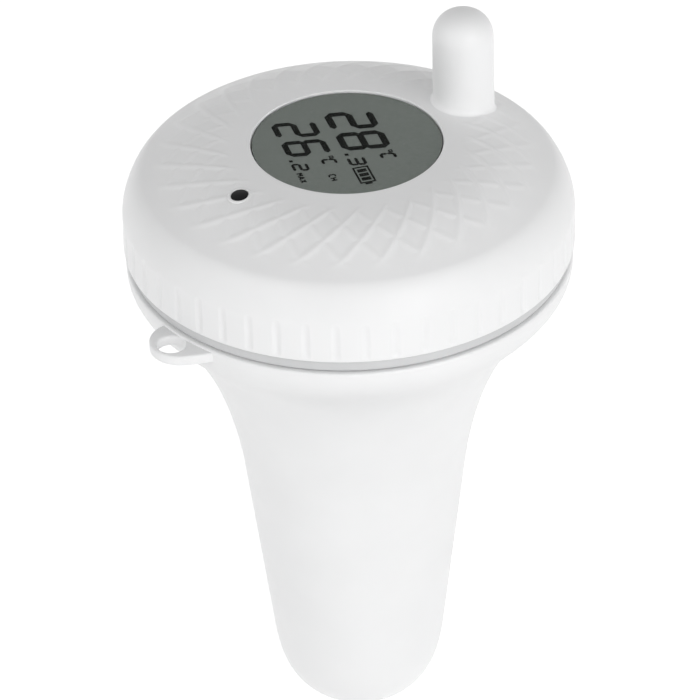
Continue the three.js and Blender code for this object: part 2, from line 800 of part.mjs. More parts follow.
const head = new THREE.Group();
head.rotation.z = degrees(displayTurn);
add(head, "cap_shell", capShell(), whitePlastic);
add(head, "antenna_cover", antennaCover(), whitePlastic);
add(head, "antenna_rod", antennaRod().translate(...antennaPlace, 0), steel);
add(head, "light_pipe", lightPipe().translate(...pipePlace, 0), blackPlastic);
addDisplay(head);
addElectronics(head);
addChassis(head);
addProbe(head);

const thermometer = new THREE.Group();
addFloat(thermometer);
add(thermometer, "rim_gasket", rimGasket(), greyRubber);
thermometer.add(head);
thermometer.position.z = waterlineDepth;

export default thermometer;
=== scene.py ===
# Floating pool thermometer: the looks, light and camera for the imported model.
# Lengths are in millimetres and angles in degrees. Heights are measured from the lower rim of the cap
# with +Z up, as in the part's source, and to_row raises them to the row's origin on the waterline.
import json
import math

import bmesh
import bpy
import numpy as np
from mathutils import Matrix, Vector


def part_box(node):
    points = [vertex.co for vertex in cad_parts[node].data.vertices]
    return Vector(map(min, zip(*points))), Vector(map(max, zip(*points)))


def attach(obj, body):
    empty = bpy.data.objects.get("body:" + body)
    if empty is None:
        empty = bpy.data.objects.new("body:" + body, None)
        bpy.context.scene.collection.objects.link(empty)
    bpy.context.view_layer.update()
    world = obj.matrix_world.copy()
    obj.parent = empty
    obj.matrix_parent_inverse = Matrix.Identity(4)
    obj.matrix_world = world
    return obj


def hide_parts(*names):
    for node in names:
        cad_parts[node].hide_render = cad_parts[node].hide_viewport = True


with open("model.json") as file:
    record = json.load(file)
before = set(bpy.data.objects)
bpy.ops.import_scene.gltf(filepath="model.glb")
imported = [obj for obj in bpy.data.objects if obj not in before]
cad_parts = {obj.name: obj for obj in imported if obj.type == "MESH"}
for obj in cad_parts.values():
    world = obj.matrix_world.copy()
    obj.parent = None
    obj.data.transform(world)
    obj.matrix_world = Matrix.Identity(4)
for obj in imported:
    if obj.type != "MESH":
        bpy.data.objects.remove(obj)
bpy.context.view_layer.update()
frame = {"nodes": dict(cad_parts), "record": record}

MILLIMETRE = 0.001
WATERLINE_DEPTH = 8

# Camera
CAMERA_DISTANCE = 1600
CAMERA_ELEVATION = 33.76
CAMERA_ROLL = 1.5
CAMERA_AIM = (-0.49, 0, -28.82)
CAMERA_LENS = 383.1
CAMERA_CLIP = (50, 20000)

# Light, as shares of a plain white level
FLOOR_ALBEDO = 0.6
FLOOR_GLOW = 0.32
FLOOR_SEEN = 0.75
HORIZON_LEVEL = 1.57
ZENITH_LEVEL = 0.0
FLOOR_RADIUS = 3000
FLOOR_DROP = 0.3
FLOOR_COLUMNS = 96

# Lamps: each one's name, azimuth, elevation and watts
LAMPS = (("key", -55, 18, 5.2), ("fill", -140, 35, 3.2), ("high", -40, 50, 1.8))
LAMP_DISTANCE = 1400
LAMP_SIZE = 900
LAMP_AIM = (0, 0, -30)

# Cap
CAP_RADIUS = 48
CAP_WALL = 2.6
CAP_SIDE_HEIGHT = 8.5
SHOULDER_WIDTH = 4.5
SHOULDER_RISE = 8.8
CROWN_RISE = 6.8
SHOULDER_SHARES = ((0, 0.17), (0.33, 0.81))
CROWN_SHARES = ((0.456, 0.842), (0.481, 0.908))
CAP_RIM_ROUNDING = 0.4
CAP_COLUMNS = 1152
CAP_SIDE_STEPS = 24
SHOULDER_STEPS = 44
CROWN_STEPS = 80
CEILING_STEPS = 16
CEILING_SHARE = 0.3
SKIN_TOLERANCE = 0.05
SIDE_TOLERANCE = 0.01
DOME_HEIGHT = CAP_SIDE_HEIGHT + SHOULDER_RISE + CROWN_RISE
CAP_INNER = CAP_RADIUS - CAP_WALL

# Grip grooves
GROOVES = 48
GROOVE_WIDTH = 1.8
GROOVE_DEPTH = 0.35
GROOVE_BOTTOM = 1.2
GROOVE_END = 0.8
GROOVE_FADE = (5, 11.5)
GROOVE_PHASE = 3.4

# Relief of crossing ridges on the dome
NET_CELLS = 29
NET_CELL_LENGTH = 8.5
NET_CENTRE = 33.5
NET_PHASES = (0.235, 0.816)
NET_INNER = 26
NET_OUTER = 40
NET_FADE = 1.5
NET_HEIGHTS = (0.22, 0.14)
NET_WIDTH_SHARE = 0.14

# Window and display
DISPLAY_TURN = -74
WINDOW_RADIUS = 20.1
WINDOW_GAP = 0.3
WINDOW_EDGE = 0.25
WINDOW_THICKNESS = 0.4
LEDGE_WIDTH = 0.9
LEDGE_DEPTH = 2.7
LEDGE_THICKNESS = 1
COLLAR_WIDTH = 2.4
WINDOW_COLUMNS = 192
WINDOW_INDEX = 1.05
FILM_GAP = 0.06
DIGIT_THICKNESS = 0.04
DIGIT_SLANT = 9.6
DIGIT_OVERLAP_SHARE = 0.02

# Sensor dot, in the display's own directions
DOT_RADIUS = 1.85
DOT_PLACE = (11.8, -27)
DOT_DEPTH = 6
DOT_COLUMNS = 64
DOT_CLEARANCE = 1.5
DOT_SLOPE_STEP = 1

# The dot's profile, and its rim's as steps out from the dot's edge, with heights above the dome
DOT_PROFILE = (
    (0.0, -DOT_DEPTH),
    (DOT_RADIUS, -DOT_DEPTH),
    (DOT_RADIUS, 0.02),
    (DOT_RADIUS - 0.15, 0.12),
    (0.0, 0.16),
)
DOT_RIM = ((0.05, -1), (0.75, -1), (0.7, 0), (0.45, 0.14), (0.15, 0.12))

# Antenna
ANTENNA_RADIUS = 6.55
ANTENNA_TOP = 45.5
ANTENNA_TIP_RISE = 6.2
ANTENNA_TIP_SHARES = ((0, 0.6), (0.4, 1))
ANTENNA_PLACE = (-8.8, 28.65)
ANTENNA_FLARE = 1.2
ANTENNA_WALL = 1.8
ANTENNA_SINK = 0.12
ANTENNA_SIDE_START = 1.5
ANTENNA_COLUMNS = 96
ANTENNA_FOOT_STEPS = 8
ANTENNA_SIDE_STEPS = 6
ANTENNA_TIP_STEPS = 20
ANTENNA_INNER_STEPS = 8

# Seam
LIP_TOP = -3.2
LIP_RADIUS = 47.6
LIP_HEIGHT = 1.4
LIP_ROUNDING = 0.6
LIP_LOWER_SHARE = 0.6
GASKET_OUTER = 46.9
GASKET_INNER = 45
GASKET_TOP = -0.3
GASKET_BOTTOM = -2.9
GASKET_ROUNDING = 0.7

# Float
NECK_OUTER = 43
NECK_INNER = 40.8
NECK_HEIGHT = 10
NECK_ROUNDING = 0.5
FLOAT_WALL = 2.2
BELL_RADIUS = 39.9
BELL_BOTTOM = -15.9
BELL_SHARES = ((0, 0.38), (0.47, 0.61))
STEM_RADIUS = 24
STEM_TOP = -56
TRUMPET_SHARES = ((0.73, 0.31), (0.95, 0.84))
STEM_END_RADIUS = 18.7
TAPER_BOTTOM = -98
FLOAT_BOTTOM = -117.6
TIP_SHARES = ((0.05, 0.385), (0.135, 1))
FLOAT_COLUMNS = 256
BELL_STEPS = 14
TRUMPET_STEPS = 28
TAPER_STEPS = 6
TIP_STEPS = 28

# Lanyard ear
EAR_AZIMUTH = 221.8
EAR_CENTRE = 47.9
EAR_TIP_RADIUS = 6.8
EAR_BLEND_ANGLE = 55
EAR_BLEND_LENGTH = 4
EAR_ROOT_RADIUS = 44
EAR_ROOT_WIDTH = 10
EAR_HOLE_DISTANCE = 50.7
EAR_HOLE_RADIUS = 3
EAR_HOLE_COLUMNS = 48
EAR_TOP = -3.6
EAR_THICKNESS = 2.4
EAR_ROUNDING = 0.5
EAR_TIP_STEPS = 40
EAR_BLEND_STEPS = 12
EAR_BEVEL_STEPS = 3

# Screw thread
THREAD_PITCH = 4
THREAD_TURNS = 1.25
THREAD_DEPTH = 1.7
THREAD_ROOT_WIDTH = 1.8
THREAD_TIP_WIDTH = 0.9
NECK_THREAD_BOTTOM = 3
CAP_THREAD_BOTTOM = 1
CAP_THREAD_OFFSET = 1.5
THREAD_SINK = 0.3
THREAD_STEPS = 120
THREAD_TAPER_SHARE = 0.04
THREAD_END_SHARE = 0.05

# Meshes: the steps of a rounded corner, the least distance of two points, and the angle above which
# an edge stays sharp
CORNER_STEPS = 4
JOIN_DISTANCE = 0.002
MARK_JOIN_DISTANCE = 0.0001
LEAST_LENGTH = 1e-9
SOFT_ANGLE = 30
NODE_ANGLE = 32
THREAD_ANGLE = 35
EDGE_ANGLE = 40
FLOAT_ANGLE = 45
RIM_ANGLE = 60
MARK_ANGLE = 20


def to_row(points):
    """Points in millimetres above the cap's rim as points of the row, in metres."""
    row = np.asarray(points, float).reshape(-1, 3) * MILLIMETRE
    row[:, 2] += WATERLINE_DEPTH * MILLIMETRE
    return row


def on_circle(radius, azimuth):
    return radius * math.cos(math.radians(azimuth)), radius * math.sin(math.radians(azimuth))


def turned_place(place):
    """A place in the display's own directions as x and y of the row."""
    turn = math.radians(DISPLAY_TURN)
    x, y = place
    return x * math.cos(turn) - y * math.sin(turn), x * math.sin(turn) + y * math.cos(turn)


def bend(start, end, shares, steps):
    """The points of a curve from one (radius, height) to another, without its first. Its two handles
    lie at shares of the way across and of the way up."""
    start, end = np.array(start, float), np.array(end, float)
    handles = [start + np.array(share) * (end - start) for share in shares]
    points = []
    for step in range(1, steps + 1):
        t = step / steps
        u = 1 - t
        point = u**3 * start + 3 * u * u * t * handles[0] + 3 * u * t * t * handles[1] + t**3 * end
        points.append((point[0], point[1]))
    return points


def straight(start, end, steps):
    """Evenly spaced points from one (radius, height) to another, without the first."""
    return [
        (start[0] + (end[0] - start[0]) * step / steps, start[1] + (end[1] - start[1]) * step / steps)
        for step in range(1, steps + 1)
    ]


def corner(before, point, after, rounding):
    """A rounded corner of a profile as an arc-like curve between the two sides."""
    before, point, after = (np.array(p, float) for p in (before, point, after))
    start = point + (before - point) / np.linalg.norm(before - point) * rounding
    end = point + (after - point) / np.linalg.norm(after - point) * rounding
    points = []
    for step in range(CORNER_STEPS + 1):
        t = step / CORNER_STEPS
        place = (1 - t) ** 2 * start + 2 * t * (1 - t) * point + t * t * end
        points.append((place[0], place[1]))
    return points


def mesh_piece(name, vertices, faces, smooth_angle=SOFT_ANGLE):
    """An object of points in millimetres, smooth but for its sharp edges."""
    mesh = bpy.data.meshes.new(name)
    mesh.from_pydata(to_row(vertices).tolist(), [], faces)
    mesh.update()
    mesh.polygons.foreach_set("use_smooth", [True] * len(mesh.polygons))
    mesh.set_sharp_from_angle(angle=math.radians(smooth_angle))
    piece = bpy.data.objects.new(name, mesh)
    bpy.context.scene.collection.objects.link(piece)
    return piece


def tidy_mesh(piece, distance=JOIN_DISTANCE):
    """Joins the points that lie together, such as those of a pole, and turns all faces outward."""
    shape = bmesh.new()
    shape.from_mesh(piece.data)
    bmesh.ops.remove_doubles(shape, verts=shape.verts, dist=distance * MILLIMETRE)
    bmesh.ops.recalc_face_normals(shape, faces=shape.faces)
    shape.to_mesh(piece.data)
    shape.free()
    return piece


def grid_faces(rows, columns, closed):
    """Faces of a grid whose columns go round, and whose rows do too if it is closed."""
    faces = []
    for row in range(rows if closed else rows - 1):
        low, high = row * columns, (row + 1) % rows * columns
        faces += [
            (low + i, low + (i + 1) % columns, high + (i + 1) % columns, high + i)
            for i in range(columns)
        ]
    return faces


def unit_rows(steps):
    """Each row as a direction of length one."""
    return steps / np.maximum(np.linalg.norm(steps, axis=1), LEAST_LENGTH)[:, None]


def revolved(name, profile, columns=FLOAT_COLUMNS, relief=None, closed=True, smooth_angle=SOFT_ANGLE):
    """A profile of (radius, height) points turned about the axis, and moved out along its normal by a
    relief that depends on the radius, the height and the azimuth."""
    outline = np.array(profile, float)
    azimuths = np.radians(np.arange(columns) * 360 / columns)
    onward = unit_rows(np.roll(outline, -1, axis=0) - outline)
    backward = unit_rows(np.roll(outline, 1, axis=0) - outline)
    run = unit_rows(onward - backward)
    radius = np.repeat(outline[:, :1], columns, axis=1)
    height = np.repeat(outline[:, 1:], columns, axis=1)
    if relief:
        proud = relief(radius, height, np.degrees(azimuths)[None, :])
        radius = radius + proud * run[:, 1:]
        height = height - proud * run[:, :1]
    vertices = np.stack([radius * np.cos(azimuths), radius * np.sin(azimuths), height], axis=-1)
    return mesh_piece(name, vertices, grid_faces(len(outline), columns, closed), smooth_angle)


def finish_piece(piece, body, finish, replaced=()):
    """Says which body a piece rides on and which nodes it stands for."""
    piece.data.materials.clear()
    piece.data.materials.append(finish)
    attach(piece, body)
    if replaced:
        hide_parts(*replaced)


# Materials: colours are linear, and the scale of a noise is in waves a metre

# The range that most of a noise lies in
NOISE_LOW = 0.3
NOISE_HIGH = 0.7

# Moulded plastic: the waves of its mottle, of its change of gloss and of its grain
MOTTLE_WAVES = 60
GLOSS_WAVES = 220
GRAIN_WAVES = 2600
GRAIN_DETAIL = 2
GRAIN_STRENGTH = 0.35


def new_material(name, colour, roughness, metallic=0.0):
    """A plain material, whose shader the others then change."""
    material = bpy.data.materials.new(name)
    material.use_nodes = True
    shader = material.node_tree.nodes["Principled BSDF"]
    shader.inputs["Base Color"].default_value = (*colour, 1)
    shader.inputs["Roughness"].default_value = roughness
    shader.inputs["Metallic"].default_value = metallic
    return material


def noise(material, scale, detail=3):
    nodes, links = material.node_tree.nodes, material.node_tree.links
    place = nodes.new("ShaderNodeTexCoord")
    texture = nodes.new("ShaderNodeTexNoise")
    texture.inputs["Scale"].default_value = scale
    texture.inputs["Detail"].default_value = detail
    links.new(place.outputs["Object"], texture.inputs["Vector"])
    return texture.outputs["Fac"]


def vary_roughness(material, source, low, high):
    """A roughness that follows a noise between two values."""
    nodes, links = material.node_tree.nodes, material.node_tree.links
    spread = nodes.new("ShaderNodeMapRange")
    spread.inputs["From Min"].default_value = NOISE_LOW
    spread.inputs["From Max"].default_value = NOISE_HIGH
    spread.inputs["To Min"].default_value = low
    spread.inputs["To Max"].default_value = high
    links.new(source, spread.inputs["Value"])
    links.new(spread.outputs["Result"], nodes["Principled BSDF"].inputs["Roughness"])


def vary_colour(material, source, dark, light):
    """A colour that follows a noise between two others."""
    nodes, links = material.node_tree.nodes, material.node_tree.links
    ramp = nodes.new("ShaderNodeValToRGB")
    ramp.color_ramp.elements[0].position = NOISE_LOW
    ramp.color_ramp.elements[0].color = (*dark, 1)
    ramp.color_ramp.elements[1].position = NOISE_HIGH
    ramp.color_ramp.elements[1].color = (*light, 1)
    links.new(source, ramp.inputs["Fac"])
    links.new(ramp.outputs["Color"], nodes["Principled BSDF"].inputs["Base Color"])


def roughen(material, source, strength, distance):
    """A fine unevenness of the surface that follows a noise."""
    nodes, links = material.node_tree.nodes, material.node_tree.links
    bump = nodes.new("ShaderNodeBump")
    bump.inputs["Strength"].default_value = strength
    bump.inputs["Distance"].default_value = distance * MILLIMETRE
    links.new(source, bump.inputs["Height"])
    links.new(bump.outputs["Normal"], nodes["Principled BSDF"].inputs["Normal"])


def dull(material, level):
    """Less mirror-like reflection than that of a plain plastic, which has a level of 0.5."""
    material.node_tree.nodes["Principled BSDF"].inputs["Specular IOR Level"].default_value = level


def shades(colour, share):
    """A colour a little darker and a little lighter."""
    return tuple(c * (1 - share) for c in colour), tuple(min(c * (1 + share), 1) for c in colour)


def moulded(name, colour, roughness, spread=0.05, mottle=0.012, grain=0.02):
    """Moulded plastic: a faint mottle, a roughness that wanders and a fine satin grain."""
    material = new_material(name, colour, roughness)
    vary_colour(material, noise(material, MOTTLE_WAVES), *shades(colour, mottle))
    vary_roughness(material, noise(material, GLOSS_WAVES), roughness - spread, roughness + spread)
    roughen(material, noise(material, GRAIN_WAVES, GRAIN_DETAIL), GRAIN_STRENGTH, grain)
    return material


def white_plastic():
    return moulded("white_plastic", (0.86, 0.862, 0.865), 0.38)


def inner_plastic():
    return moulded("inner_plastic", (0.62, 0.63, 0.635), 0.45)


def grey_rubber():
    return moulded("grey_rubber", (0.6, 0.605, 0.61), 0.6, spread=0.08, mottle=0.05, grain=0.04)


def black_plastic():
    return moulded("black_plastic", (0.012, 0.012, 0.013), 0.3, spread=0.06, mottle=0.1)


def lcd_face():
    """Grey reflective display glass with the grain of its polariser."""
    material = new_material("lcd_face", (0.175, 0.197, 0.18), 0.45)
    dull(material, 0.15)
    vary_colour(material, noise(material, 1500, 2), (0.162, 0.184, 0.167), (0.188, 0.21, 0.193))
    roughen(material, noise(material, 3200, 2), 0.2, 0.01)
    return material


def lcd_ink():
    """The dark segments of the display."""
    material = new_material("lcd_ink", (0.006, 0.007, 0.006), 0.5)
    dull(material, 0.02)
    vary_roughness(material, noise(material, 900), 0.45, 0.6)
    return material


def window_plastic():
    """Clear plastic that lets lamp light through to the display. Its index is low, because hardly
    anything is mirrored in the photographed window."""
    material = new_material("window_plastic", (1, 1, 1), 0.03)
    nodes, links = material.node_tree.nodes, material.node_tree.links
    shader = nodes["Principled BSDF"]
    shader.inputs["Transmission Weight"].default_value = 1
    shader.inputs["IOR"].default_value = WINDOW_INDEX
    vary_roughness(material, noise(material, 180), 0.02, 0.05)
    rays = nodes.new("ShaderNodeLightPath")
    clear = nodes.new("ShaderNodeBsdfTransparent")
    either = nodes.new("ShaderNodeMath")
    either.operation = "MAXIMUM"
    links.new(rays.outputs["Is Shadow Ray"], either.inputs[0])
    links.new(rays.outputs["Is Diffuse Ray"], either.inputs[1])
    mix = nodes.new("ShaderNodeMixShader")
    links.new(either.outputs[0], mix.inputs["Fac"])
    links.new(shader.outputs[0], mix.inputs[1])
    links.new(clear.outputs[0], mix.inputs[2])
    links.new(mix.outputs[0], nodes["Material Output"].inputs["Surface"])
    return material


def sensor_black():
    """The dark end of the light pipe."""
    material = moulded("sensor_black", (0.006, 0.006, 0.007), 0.4, spread=0.06, mottle=0.1)
    dull(material, 0.12)
    return material


def green_board():
    material = new_material("green_board", (0.02, 0.13, 0.05), 0.4)
    vary_colour(material, noise(material, 400), (0.016, 0.11, 0.042), (0.028, 0.16, 0.065))
    roughen(material, noise(material, 1800), 0.3, 0.03)
    return material


def metal(name, colour, roughness):
    material = new_material(name, colour, roughness, 1.0)
    vary_colour(material, noise(material, 300), *shades(colour, 0.06))
    vary_roughness(material, noise(material, 900), roughness - 0.08, roughness + 0.08)
    return material


def lead_jacket():
    return moulded("lead_jacket", (0.03, 0.03, 0.032), 0.5)


def cell_wrap():
    return moulded("cell_wrap", (0.05, 0.16, 0.34), 0.3, mottle=0.05)


MATERIALS = {
    "white_plastic": white_plastic(),
    "inner_plastic": inner_plastic(),
    "grey_rubber": grey_rubber(),
    "window": window_plastic(),
    "black_plastic": black_plastic(),
    "lcd": lcd_face(),
    "green_board": green_board(),
    "steel": metal("steel", (0.62, 0.63, 0.64), 0.3),
    "brass_contact": metal("brass_contact", (0.72, 0.55, 0.25), 0.32),
    "cell_wrap": cell_wrap(),
    "lead": lead_jacket(),
}
LCD_INK = lcd_ink()
SENSOR_BLACK = sensor_black()


def dress_nodes():
    """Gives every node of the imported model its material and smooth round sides."""
    for part in frame["record"]["subparts"]:
        mesh = frame["nodes"][part["node"]].data
        mesh.materials.clear()
        mesh.materials.append(MATERIALS[part["material_slot"]])
        mesh.polygons.foreach_set("use_smooth", [True] * len(mesh.polygons))
        mesh.set_sharp_from_angle(angle=math.radians(NODE_ANGLE))


# Cap


def shoulder_profile():
    """The dome from the top of the cap's side to the edge of the window opening."""
    side = (CAP_RADIUS, CAP_SIDE_HEIGHT)
    shoulder = (CAP_RADIUS - SHOULDER_WIDTH, CAP_SIDE_HEIGHT + SHOULDER_RISE)
    crown = (WINDOW_RADIUS + WINDOW_GAP, DOME_HEIGHT)
    lower = bend(side, shoulder, SHOULDER_SHARES, SHOULDER_STEPS)
    return lower + bend(shoulder, crown, CROWN_SHARES, CROWN_STEPS)


DOME = np.array([(CAP_RADIUS, CAP_SIDE_HEIGHT), *shoulder_profile()])


def dome_height(radius):
    return np.interp(radius, DOME[::-1, 0], DOME[::-1, 1])


def ceiling_height(radius):
    """The inside of the dome, a wall below its outside."""
    return dome_height(radius + CAP_WALL * CEILING_SHARE) - CAP_WALL


def smooth_share(value, start, end):
    """A share that rises smoothly from none to all between two values."""
    share = np.clip((value - start) / (end - start), 0, 1)
    return share * share * (3 - 2 * share)


def groove_relief(radius, height, azimuth):
    """Upright grooves that fade out where the shoulder turns in."""
    pitch = 360 / GROOVES
    away = (azimuth - GROOVE_PHASE + pitch / 2) % pitch - pitch / 2
    across = np.radians(away) * radius / (GROOVE_WIDTH / 2)
    depth = GROOVE_DEPTH * np.clip(1 - across**2, 0, 1) * (1 - smooth_share(height, *GROOVE_FADE))
    left = np.maximum(depth - (CAP_RADIUS - radius), 0)
    return -left * smooth_share(height, GROOVE_BOTTOM - GROOVE_END, GROOVE_BOTTOM)


def net_relief(radius, azimuth):
    """Low ridges along two families of crossing spirals, which fade toward both edges."""
    ridges = 0
    for way, shift, rise in zip((1, -1), NET_PHASES, NET_HEIGHTS):
        phase = NET_CELLS * azimuth / 360 + way * (radius - NET_CENTRE) / NET_CELL_LENGTH - shift
        away = np.abs(phase - np.round(phase))
        ridges = np.maximum(ridges, rise * np.exp(-((away / NET_WIDTH_SHARE) ** 2)))
    shown = smooth_share(radius, NET_INNER - NET_FADE, NET_INNER + NET_FADE)
    shown = shown * (1 - smooth_share(radius, NET_OUTER - NET_FADE, NET_OUTER + NET_FADE))
    return ridges * shown


def cap_relief(radius, height, azimuth):
    """The grooves and the net on the outer skin of the cap, with a clear ring round the sensor dot."""
    outside = (height < DOME_HEIGHT) & (height > dome_height(radius) - SKIN_TOLERANCE)
    side = (np.abs(radius - CAP_RADIUS) < SIDE_TOLERANCE) & (height < CAP_SIDE_HEIGHT)
    skin = outside | side
    dot_x, dot_y = turned_place(DOT_PLACE)
    x, y = radius * np.cos(np.radians(azimuth)), radius * np.sin(np.radians(azimuth))
    from_dot = np.hypot(x - dot_x, y - dot_y)
    clear_of_dot = smooth_share(from_dot, DOT_RADIUS, DOT_RADIUS + DOT_CLEARANCE)
    relief = groove_relief(radius, height, azimuth) + net_relief(radius, azimuth) * clear_of_dot
    return np.where(skin, relief, 0)


def cap_profile():
    """Round the cap's wall, from its rim up the outside, over the window's ledge and down the inside."""
    opening = WINDOW_RADIUS + WINDOW_GAP
    ledge_top, ledge_bottom = DOME_HEIGHT - LEDGE_DEPTH, DOME_HEIGHT - LEDGE_DEPTH - LEDGE_THICKNESS
    ledge = WINDOW_RADIUS - LEDGE_WIDTH
    collar = opening + COLLAR_WIDTH
    outer_rim = corner((CAP_INNER, 0), (CAP_RADIUS, 0), (CAP_RADIUS, CAP_SIDE_HEIGHT), CAP_RIM_ROUNDING)
    inner_rim = corner((CAP_INNER, CAP_SIDE_HEIGHT), (CAP_INNER, 0), (CAP_RADIUS, 0), CAP_RIM_ROUNDING)
    edge = corner(DOME[-2], DOME[-1], (opening, ledge_top), WINDOW_EDGE)
    inside = [(r, ceiling_height(r)) for r in np.linspace(collar, CAP_INNER, CEILING_STEPS)]
    return [
        *outer_rim,
        *straight(outer_rim[-1], (CAP_RADIUS, CAP_SIDE_HEIGHT), CAP_SIDE_STEPS),
        *shoulder_profile()[:-1],
        *edge,
        (opening, ledge_top),
        (ledge, ledge_top),
        (ledge, ledge_bottom),
        (collar, ledge_bottom),
        *inside,
        *inner_rim,
    ]


def thread_ridge(name, root, tip, bottom, start_azimuth):
    """A right-handed ridge that climbs one pitch a turn, with tapered ends."""
    vertices = []
    for step in range(THREAD_STEPS + 1):
        share = step / THREAD_STEPS
        turn = share * THREAD_TURNS
        taper = float(smooth_share(min(share, 1 - share), 0, THREAD_TAPER_SHARE))
        reach = root + (tip - root) * (THREAD_END_SHARE + (1 - THREAD_END_SHARE) * taper)
        middle = bottom + turn * THREAD_PITCH
        section = (
            (root, middle - THREAD_ROOT_WIDTH / 2),
            (reach, middle - THREAD_TIP_WIDTH / 2),
            (reach, middle + THREAD_TIP_WIDTH / 2),
            (root, middle + THREAD_ROOT_WIDTH / 2),
        )
        vertices += [(*on_circle(r, start_azimuth + 360 * turn), z) for r, z in section]
    sides = len(section)
    faces = grid_faces(THREAD_STEPS + 1, sides, False)
    last = THREAD_STEPS * sides
    faces += [tuple(range(sides)), tuple(range(last, last + sides))]
    return tidy_mesh(mesh_piece(name, vertices, faces, THREAD_ANGLE))


def add_cap():
    """The cap with its grooves and relief, and the thread inside its rim."""
    shell = revolved("cap", cap_profile(), CAP_COLUMNS, cap_relief, True, EDGE_ANGLE)
    finish_piece(shell, "head", MATERIALS["white_plastic"], ["cap_shell"])
    turn = (CAP_THREAD_BOTTOM - (NECK_THREAD_BOTTOM - CAP_THREAD_OFFSET)) / THREAD_PITCH
    root, tip = CAP_INNER + THREAD_SINK, CAP_INNER - THREAD_DEPTH
    ridge = thread_ridge("cap_thread", root, tip, CAP_THREAD_BOTTOM, 360 * turn)
    finish_piece(ridge, "head", MATERIALS["white_plastic"])


def add_antenna():
    """The post, whose soft foot follows the dome all round it."""
    x0, y0 = turned_place(ANTENNA_PLACE)
    side_top = ANTENNA_TOP - ANTENNA_TIP_RISE
    azimuths = np.radians(np.arange(ANTENNA_COLUMNS) * 360 / ANTENNA_COLUMNS)
    rows = []

    def ring(radius):
        return x0 + radius * np.cos(azimuths), y0 + radius * np.sin(azimuths)

    def row(radius, height):
        rows.append(np.stack([*ring(radius), height], -1))

    def levels(profile):
        for radius, height in profile:
            row(radius, np.full(ANTENNA_COLUMNS, float(height)))

    inner = ANTENNA_RADIUS - ANTENNA_WALL
    inside = DOME_HEIGHT - 2 * CAP_WALL
    levels([(inner, inside), (ANTENNA_RADIUS + ANTENNA_FLARE, inside)])
    for step in range(ANTENNA_FOOT_STEPS + 1):
        angle = math.radians(90 * step / ANTENNA_FOOT_STEPS)
        radius = ANTENNA_RADIUS + ANTENNA_FLARE * (1 - math.sin(angle))
        above = ANTENNA_FLARE * (1 - math.cos(angle)) - ANTENNA_SINK
        row(radius, dome_height(np.hypot(*ring(radius))) + above)
    side_end = (ANTENNA_RADIUS, side_top)
    levels(straight((ANTENNA_RADIUS, DOME_HEIGHT + ANTENNA_SIDE_START), side_end, ANTENNA_SIDE_STEPS))
    levels(bend(side_end, (0, ANTENNA_TOP), ANTENNA_TIP_SHARES, ANTENNA_TIP_STEPS))
    inner_top = (0, ANTENNA_TOP - ANTENNA_WALL)
    levels(bend((inner, side_top), inner_top, ANTENNA_TIP_SHARES, ANTENNA_INNER_STEPS)[::-1])
    faces = grid_faces(len(rows), ANTENNA_COLUMNS, True)
    piece = tidy_mesh(mesh_piece("antenna_post", np.array(rows), faces, EDGE_ANGLE))
    finish_piece(piece, "head", MATERIALS["white_plastic"], ["antenna_cover"])


def add_window():
    """The clear disc that lies level with the dome."""
    top, bottom = DOME_HEIGHT, DOME_HEIGHT - WINDOW_THICKNESS
    rim = corner((WINDOW_RADIUS, bottom), (WINDOW_RADIUS, top), (0, top), WINDOW_EDGE)
    profile = [(0, bottom), (WINDOW_RADIUS, bottom), *rim, (0, top)]
    lens = tidy_mesh(revolved("window_disc", profile, WINDOW_COLUMNS, None, False, EDGE_ANGLE))
    finish_piece(lens, "head", MATERIALS["window"], ["window_lens"])


# Marks of the display, in its own directions and each from its lower left corner

# Digits: the symbol, place, width, height and thickness of each
DIGITS = (
    ("2", (-12.8, -1.6), 7.2, 10.2, 1.5),
    ("8", (-4.4, -1.6), 7.2, 10.2, 1.5),
    ("3", (5.5, -1.9), 3.3, 3.7, 0.65),
    ("C", (6.1, 5.1), 2.3, 3.4, 0.65),
    ("2", (-12.4, -13.4), 6.2, 9.3, 1.3),
    ("6", (-4.8, -13.4), 6.2, 9.3, 1.3),
    ("2", (4.2, -13.7), 3.0, 3.4, 0.6),
    ("C", (4.4, -7.2), 2.2, 3.2, 0.6),
)

# Decimal points: the place and size of each
POINTS = (((3.9, -1.8), 0.8), ((2.7, -13.6), 0.75))

# Degree signs
DEGREE_PLACES = ((5.4, 7.3), (3.7, -5.2))
DEGREE_SIZE = 0.95
DEGREE_LINE = 0.28

# Battery sign
BATTERY_PLACE = (9.8, -1.9)
BATTERY_LENGTH = 6.4
BATTERY_HEIGHT = 3.5
BATTERY_LINE = 0.4
BATTERY_BARS = 3
BATTERY_BAR_START = 0.95
BATTERY_BAR_PITCH = 1.65
BATTERY_BAR_WIDTH = 1.15
BATTERY_BAR_MARGIN = 0.75
BATTERY_NUB_GAP = 0.1
BATTERY_NUB_WIDTH = 0.5
BATTERY_NUB_MARGIN = 1

# Small labels: the word and place of each
LABELS = (("MAX", (8.3, -13.6)), ("CH", (10.9, -7.3)))
LETTER_WIDTH = 0.9
LETTER_HEIGHT = 1.3
LETTER_GAP = 0.45
LETTER_LINE = 0.34

# The seven segments run clockwise from the top one, a, with g across the middle
SEGMENTS = {
    "2": "abged",
    "3": "abgcd",
    "6": "acdefg",
    "8": "abcdefg",
    "C": "adef",
}

